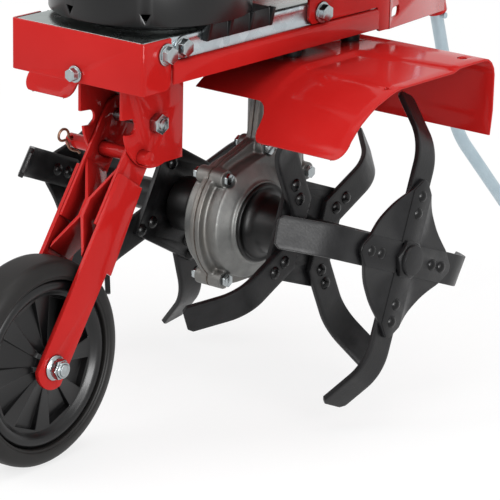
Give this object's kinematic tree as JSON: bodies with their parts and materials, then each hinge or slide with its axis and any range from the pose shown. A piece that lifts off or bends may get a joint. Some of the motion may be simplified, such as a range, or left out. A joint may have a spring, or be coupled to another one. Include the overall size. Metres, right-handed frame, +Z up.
{
  "type": "garden tiller",
  "caption": "Walk-behind garden tiller with a fold-up front wheel, worm gear case, star tine rotors under fenders, a depth stake, an engine and a folding handlebar.",
  "frame": {"origin": "under the middle of the overall box, on the ground below the wheel", "axes": "+X to the machine's right along the tine shaft as the picture shows it, +Y to the rear (handles), +Z up"},
  "size_m": [0.472, 1.0671, 0.8859],
  "materials": {
    "red_paint": "glossy powder coat",
    "black_paint": "satin paint",
    "zinc": "bright zinc plate",
    "galvanised": "galvanised sheet",
    "steel": "machined",
    "clip_steel": "brown spring wire",
    "cast_aluminium": "raw die casting",
    "engine_alloy": "die casting",
    "black_alloy": "black painted casting",
    "tube_black": "satin paint",
    "bronze": "machined",
    "tyre": "dusty rubber",
    "rubber": "matt",
    "rim_plastic": "satin",
    "black_plastic": "fine grain",
    "tank_plastic": "smooth"
  },
  "bodies": {
    "frame": {"front_box": "red_paint", "main_frame": "red_paint", "engine_tray": "galvanised", "deck_bolts": "zinc", "front_bolt": "zinc", "fork_bracket": "red_paint", "pivot_bolt": "zinc", "gear_case_left": "cast_aluminium", "gear_case_right": "cast_aluminium", "case_gasket": "rubber", "case_bolts": "zinc", "shaft_seals": "rubber", "bearings": "steel", "fender_left": "red_paint", "fender_right": "red_paint", "fender_bolts": "zinc", "rear_bracket": "red_paint", "stake_holder": "red_paint", "drive_belt": "rubber", "engine_base": "black_alloy", "engine_shroud": "black_plastic", "crankcase": "engine_alloy", "cylinder_head": "engine_alloy", "blower_housing": "black_plastic", "fuel_tank": "tank_plastic", "muffler": "black_alloy", "air_filter": "black_plastic", "handle_lower": "tube_black", "handle_knobs": "black_plastic", "handle_bolts": "zinc"},
    "rotor": {"worm_wheel": "bronze", "tine_shaft": "black_paint", "rotor_hubs": "black_paint", "inner_stars": "black_paint", "outer_stars": "black_paint", "inner_tines": "black_paint", "outer_tines": "black_paint", "tine_rivets": "black_paint", "rotor_pins": "zinc"},
    "worm": {"worm_shaft": "steel", "driven_pulley": "engine_alloy"},
    "crank": {"crankshaft": "steel", "drive_pulley": "steel"},
    "fork": {"fork_arm_left": "red_paint", "fork_arm_right": "red_paint", "fork_brace": "red_paint", "wheel_axle": "zinc"},
    "wheel": {"wheel_rim": "rim_plastic", "wheel_tyre": "tyre"},
    "lock": {"lock_pin": "red_paint", "lock_clip": "clip_steel"},
    "idler": {"idler_arm": "steel"},
    "idler_roller": {"idler_pulley": "black_plastic"},
    "stake": {"depth_stake": "galvanised"},
    "handle": {"handle_upper": "tube_black", "handle_grips": "rubber"},
    "drive_control": {"drive_lever": "steel"},
    "throttle": {"throttle_lever": "black_plastic"},
    "cap": {"fuel_cap": "black_plastic"},
    "starter": {"starter_grip": "black_plastic"}
  },
  "joints": [
    {"name": "tine_spin", "type": "hinge", "parent": "frame", "child": "rotor", "pos_m": [0, -0.18672, 0.14592], "axis": [1, 0, 0], "continuous": true},
    {"name": "worm_spin", "type": "hinge", "parent": "frame", "child": "worm", "pos_m": [0, -0.13672, 0.14592], "axis": [0, 0, 1], "continuous": true},
    {"name": "crank_spin", "type": "hinge", "parent": "frame", "child": "crank", "pos_m": [0, -0.30372, 0.30002], "axis": [0, 0, 1], "continuous": true},
    {"name": "fork_swing", "type": "hinge", "parent": "frame", "child": "fork", "pos_m": [0.005, -0.32872, 0.26092], "axis": [-1, 0, 0], "range_deg": [0, 60]},
    {"name": "wheel_spin", "type": "hinge", "parent": "fork", "child": "wheel", "pos_m": [0.005, -0.44828, 0.085], "axis": [1, 0, 0], "continuous": true},
    {"name": "lock_pin_slide", "type": "slide", "parent": "frame", "child": "lock", "axis": [-1, 0, 0], "range_m": [0, 0.07]},
    {"name": "idler_swing", "type": "hinge", "parent": "frame", "child": "idler", "pos_m": [0, -0.24472, 0.32392], "axis": [0, 0, 1], "range_deg": [0, 8.5]},
    {"name": "idler_spin", "type": "hinge", "parent": "idler", "child": "idler_roller", "pos_m": [-0.009, -0.21072, 0.33192], "axis": [0, 0, 1], "continuous": true},
    {"name": "stake_slide", "type": "slide", "parent": "frame", "child": "stake", "axis": [0, -0.3223, 0.9466], "range_m": [-0.06, 0]},
    {"name": "handle_fold", "type": "hinge", "parent": "frame", "child": "handle", "pos_m": [0, 0.14328, 0.58592], "axis": [1, 0, 0], "range_deg": [0, 140]},
    {"name": "drive_lever_swing", "type": "hinge", "parent": "handle", "child": "drive_control", "pos_m": [-0.22, 0.41128, 0.81692], "axis": [1, 0, 0], "range_deg": [0, 8]},
    {"name": "throttle_swing", "type": "hinge", "parent": "handle", "child": "throttle", "pos_m": [0.196, 0.39528, 0.84592], "axis": [1, 0, 0], "range_deg": [-30, 30]},
    {"name": "cap_turn", "type": "hinge", "parent": "frame", "child": "cap", "pos_m": [0, -0.17272, 0.47592], "axis": [0, 0, 1], "continuous": true},
    {"name": "starter_pull", "type": "slide", "parent": "frame", "child": "starter", "axis": [0, -1, 0], "range_m": [0, 0.4]}
  ],
  "couplings": [
    {"joint": "worm_spin", "follows": "tine_spin", "ratio": -27},
    {"joint": "idler_swing", "follows": "drive_lever_swing", "ratio": 1.0625}
  ]
}
